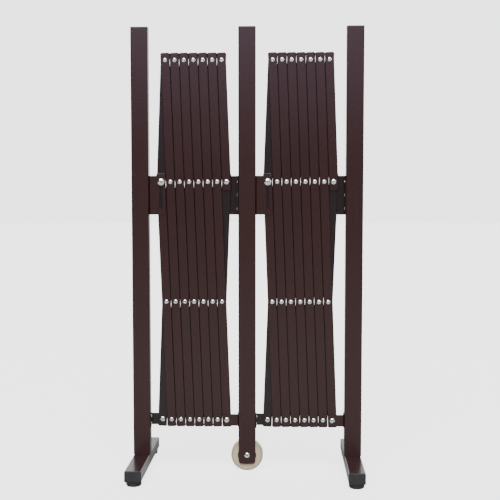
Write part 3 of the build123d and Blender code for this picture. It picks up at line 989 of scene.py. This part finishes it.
def wheel():
    """A nylon wheel: hub face, shallow web, groove and tread band with rounded shoulders."""
    half = (WHEEL_HIGH.y - WHEEL_LOW.y) / 2
    bore = AXLE_R + PIN_GAP + BUSH_WALL
    band = WHEEL_R - TREAD_DEPTH
    web = half - WEB_RECESS
    inner, outer = WEB_SLOPES
    face = [(bore, half - BORE_EDGE), (bore + BORE_EDGE, half), (HUB_R, half), (HUB_R + inner, web)]
    low_face = half - BAND_RECESS
    face += [(band - BAND_LIP - outer, web), (band - BAND_LIP, low_face), (band, low_face)]
    shoulder = arc((WHEEL_R - WHEEL_SHOULDER, half - WHEEL_SHOULDER), WHEEL_SHOULDER, 90, 0, 6)
    seam_h, seam_half, seam_flat = SEAM
    tread = WHEEL_R - seam_h
    seam = [(tread, half - WHEEL_SHOULDER), (tread, seam_half), (WHEEL_R, seam_flat)]
    side = face + shoulder[:-1] + seam
    other = [(radius, -z) for radius, z in reversed(side)]
    bm = turned(side + other, 96, closed=True)
    moved(bm, pointing(FRONT, AXLE))
    piece("wheel_tread", bm, "nylon", "wheel", "wheel")


def bush():
    low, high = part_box("wheel_bush")
    half = (high.y - low.y) / 2
    radius = (high.z - low.z) / 2
    bore = AXLE_R + PIN_GAP
    ring = [(bore, half - BORE_EDGE), (bore + BORE_EDGE, half)]
    ring += [(radius - BUSH_EDGE, half), (radius, half - BUSH_EDGE)]
    ring += [(r, -z) for r, z in reversed(ring)]
    bm = moved(turned(ring, closed=True), pointing(FRONT, AXLE))
    piece("wheel_sleeve", bm, "bright_steel", "wheel", "wheel_bush")


def spacers():
    """The two washers that keep the wheel in the middle of the fork."""
    low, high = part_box("wheel_spacers")
    radius = (high.z - low.z) / 2
    bore = AXLE_R + PIN_GAP
    ring = [(bore, 0), (bore, SPACER_T), (radius - SPACER_EDGE, SPACER_T), (radius, SPACER_T - SPACER_EDGE)]
    ring += [(radius, SPACER_EDGE), (radius - SPACER_EDGE, 0)]
    bm = turned(ring, 64, closed=True)
    places = [pointing(FRONT, (AXLE.x, y, AXLE.z)) for y in (low.y + SPACER_T, high.y)]
    piece("wheel_washers", stamped(bm, places), "black_plastic", "middle_post", "wheel_spacers")


def axle():
    low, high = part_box("axle_bolt")
    nut_low, nut_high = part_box("axle_nut")
    head_h = -low.y - nut_low.y
    head_r = (high.z - low.z) / 2
    length = high.y + nut_low.y
    tip = [(0, -length), (AXLE_R - AXLE_TIP, -length), (AXLE_R, -length + AXLE_TIP), (AXLE_R, 0)]
    bolt = recessed_head((head_r, head_h), AXLE_SOCKET, hexagon(AXLE_SOCKET[0]), tip)
    moved(bolt, pointing(FRONT, (AXLE.x, -nut_low.y, AXLE.z)))
    piece("axle_screw", bolt, "bright_steel", "middle_post", "axle_bolt")

    across = (nut_high.x - nut_low.x) / 2
    bm = bmesh.new()
    loop(bm, hexagon(across))
    hole(bm, 0, 0, AXLE_R + PIN_GAP)
    thicken(bm, nut_high.y - nut_low.y)
    soften(bm, NUT_EDGE, 2)
    moved(bm, pointing((0, 1, 0), (AXLE.x, nut_low.y, AXLE.z)))
    piece("axle_hex_nut", bm, "bright_steel", "middle_post", "axle_nut")


wheel()
bush()
spacers()
axle()


# ---- Studio -------------------------------------------------------------------------------------

BACKGROUND = 3.0  # how bright the camera sees the floor and what is behind the gate
FLOOR_GLOW = 0.3  # about what the lights alone give the floor


def floor():
    """A plain pale floor, large enough to meet the pale background."""
    bm = bmesh.new()
    bmesh.ops.create_circle(bm, cap_ends=True, radius=30.0, segments=64)
    mesh = bpy.data.meshes.new("floor")
    bm.to_mesh(mesh)
    bm.free()
    made = added("floor", mesh)
    finish = Finish("pale_floor", base_color=rgb(0.45, 0.45, 0.45), roughness=0.9)
    finish.paint(emission_color=rgb(1, 1, 1))
    seen = finish.node("ShaderNodeLightPath", {}, {}, "Is Camera Ray")
    finish.give(finish.surface.inputs["Emission Strength"], seen * (BACKGROUND - FLOOR_GLOW))
    mesh.materials.append(finish.material)


def surroundings():
    """Bright behind the gate and in front of it, and dark to the left and right."""
    world = bpy.data.worlds.new("white_studio")
    bpy.context.scene.world = world
    world.use_nodes = True
    sky = Shader(world.node_tree)
    direction = sky.node("ShaderNodeTexCoord", {}, {}, "Generated")
    beside, behind, height = (
        sky.node("ShaderNodeSeparateXYZ", {}, {0: direction}, axis) for axis in ("X", "Y", "Z")
    )
    seen = sky.node("ShaderNodeLightPath", {}, {}, "Is Camera Ray")
    back = sky.between(behind, 0.15, 0.60)
    before = sky.between(-1 * behind, 0.05, 0.55) * (1 - sky.between(beside * beside, 0.06, 0.30))
    low_glow = sky.between(height, 0.07, 0.19)
    high_glow = sky.between(height, 0.25, 0.60)
    front = 0.03 + (1.95 * low_glow + 3.0 * high_glow) * before
    strength = front * (1 - back) + 1.6 * back
    strength = strength * (1 - seen) + BACKGROUND * seen
    cool = low_glow * (1 - high_glow) * (1 - back) * (1 - seen)
    lamp = world.node_tree.nodes["Background"]
    sky.give(lamp.inputs["Color"], sky.mix(cool, rgb(1, 1, 1), rgb(0.72, 0.66, 1.0)))
    sky.give(lamp.inputs["Strength"], strength)


def softbox(name, place, target, size, power, colour=(1, 1, 1)):
    lamp = bpy.data.lights.new(name, "AREA")
    lamp.shape = "RECTANGLE"
    lamp.size, lamp.size_y = size
    lamp.energy = power
    lamp.color = colour
    made = added(name, lamp)
    made.location = place
    made.rotation_euler = (Vector(target) - Vector(place)).to_track_quat("-Z", "Y").to_euler()


def camera():
    """Stands a little right of the middle post, looking slightly down."""
    lens = bpy.data.cameras.new("camera")
    lens.lens = 68.62
    lens.sensor_width = 36.0
    lens.shift_y = 0.04
    made = added("camera", lens)
    made.location = (0.084, -2.223, 0.629)
    made.rotation_euler = (math.radians(90 - 3.97), 0, math.radians(1.99))
    bpy.context.scene.camera = made


floor()
surroundings()
softbox("overhead_softbox", (-0.4, -1.9, 2.6), (0, 0, 0.5), (1.6, 1.0), 42, (0.97, 0.98, 1.0))
softbox("side_softbox", (2.4, -1.2, 1.6), (0, 0, 0.5), (1.2, 1.2), 14)
camera()
